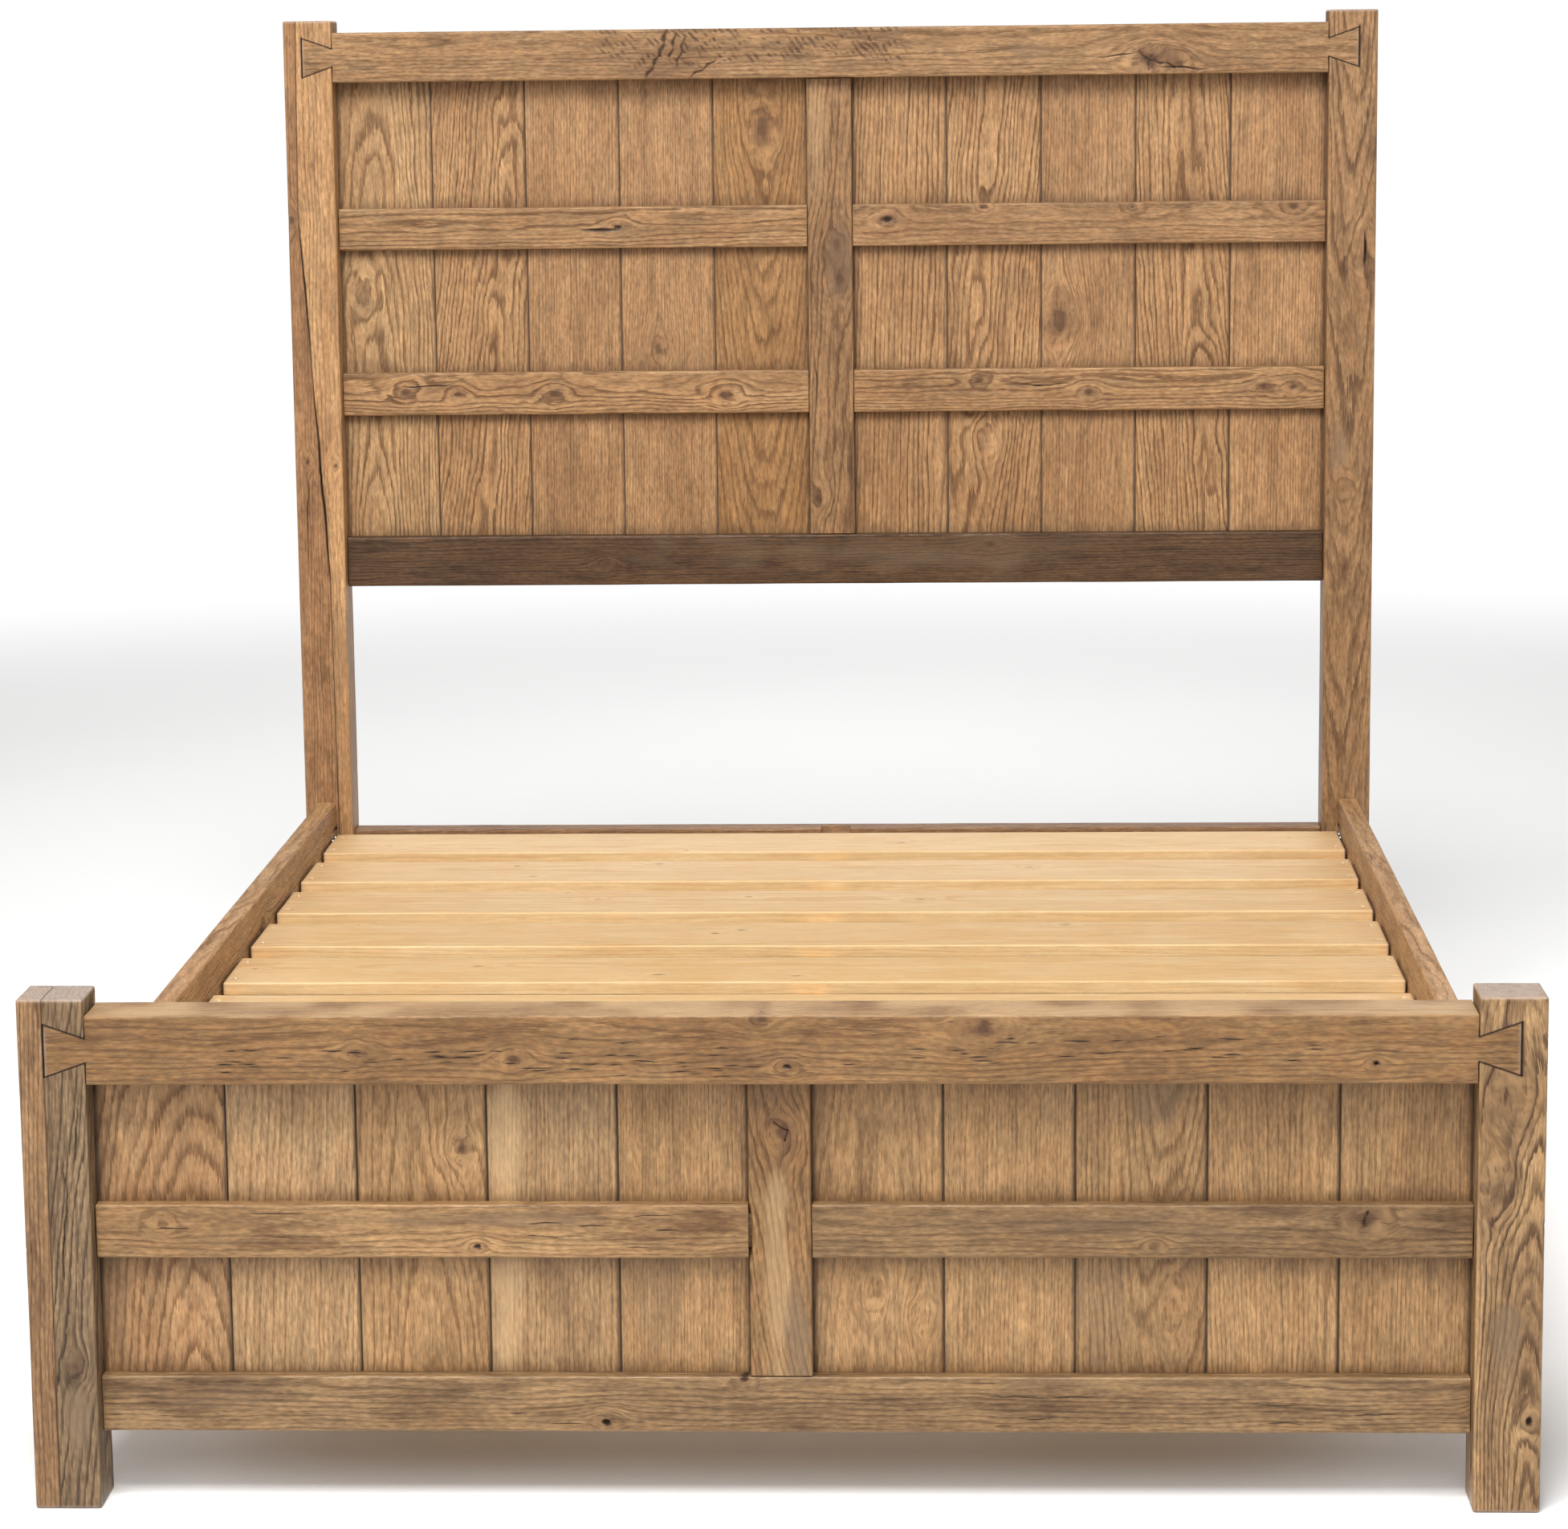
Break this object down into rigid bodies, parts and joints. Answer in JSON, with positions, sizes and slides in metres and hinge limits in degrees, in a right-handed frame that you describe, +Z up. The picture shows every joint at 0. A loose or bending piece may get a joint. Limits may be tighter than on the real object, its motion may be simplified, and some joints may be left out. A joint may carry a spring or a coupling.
{
  "type": "wooden bed frame",
  "caption": "Oak bed frame: square posts, plank-and-batten headboard and footboard with dovetailed top rails, hook-on side rails, slats and a centre beam on levelling legs.",
  "frame": {"origin": "on the floor, under the middle of the bed", "axes": "+Z up, +Y from the footboard to the headboard, +X to the right seen from the foot"},
  "size_m": [1.704, 2.225, 1.673],
  "materials": {
    "oak_post": "waxed matte, softened edges, drying cracks",
    "oak_rail": "waxed matte, knots and saw marks",
    "oak_plank": "waxed matte, brushed grain",
    "softwood": "planed, unfinished",
    "plated_steel": "zinc plated",
    "levelling_foot": "moulded, matte"
  },
  "bodies": {
    "bed_frame": {"centre_beam": "softwood", "centre_leg_1": "softwood", "centre_leg_2": "softwood", "foot_batten_left": "oak_rail", "foot_batten_right": "oak_rail", "foot_beam_cleat": "softwood", "foot_bottom_rail": "oak_rail", "foot_centre_stile": "oak_rail", "foot_plank_01": "oak_plank", "foot_plank_02": "oak_plank", "foot_plank_03": "oak_plank", "foot_plank_04": "oak_plank", "foot_plank_05": "oak_plank", "foot_plank_06": "oak_plank", "foot_plank_07": "oak_plank", "foot_plank_08": "oak_plank", "foot_plank_09": "oak_plank", "foot_plank_10": "oak_plank", "foot_post_left": "oak_post", "foot_post_right": "oak_post", "foot_top_rail": "oak_rail", "head_bottom_rail": "oak_rail", "head_centre_stile": "oak_rail", "head_lower_batten_left": "oak_rail", "head_lower_batten_right": "oak_rail", "head_plank_01": "oak_plank", "head_plank_02": "oak_plank", "head_plank_03": "oak_plank", "head_plank_04": "oak_plank", "head_plank_05": "oak_plank", "head_plank_06": "oak_plank", "head_plank_07": "oak_plank", "head_plank_08": "oak_plank", "head_plank_09": "oak_plank", "head_plank_10": "oak_plank", "head_post_left": "oak_post", "head_post_right": "oak_post", "head_stretcher": "oak_rail", "head_top_rail": "oak_rail", "head_upper_batten_left": "oak_rail", "head_upper_batten_right": "oak_rail", "hook_plate_foot_left": "plated_steel", "hook_plate_foot_right": "plated_steel", "hook_plate_head_left": "plated_steel", "hook_plate_head_right": "plated_steel", "side_rail_left": "oak_rail", "side_rail_right": "oak_rail", "slat_1": "softwood", "slat_2": "softwood", "slat_3": "softwood", "slat_4": "softwood", "slat_5": "softwood", "slat_6": "softwood", "slat_7": "softwood", "slat_8": "softwood", "slat_9": "softwood", "slat_ledger_left": "softwood", "slat_ledger_right": "softwood"},
    "levelling_foot_1": {"leveller_1": "levelling_foot"},
    "levelling_foot_2": {"leveller_2": "levelling_foot"}
  },
  "joints": [
    {"name": "leveller_1_height", "type": "slide", "parent": "bed_frame", "child": "levelling_foot_1", "axis": [0, 0, 1], "range_m": [0, 0.012]},
    {"name": "leveller_2_height", "type": "slide", "parent": "bed_frame", "child": "levelling_foot_2", "axis": [0, 0, 1], "range_m": [0, 0.012]}
  ]
}
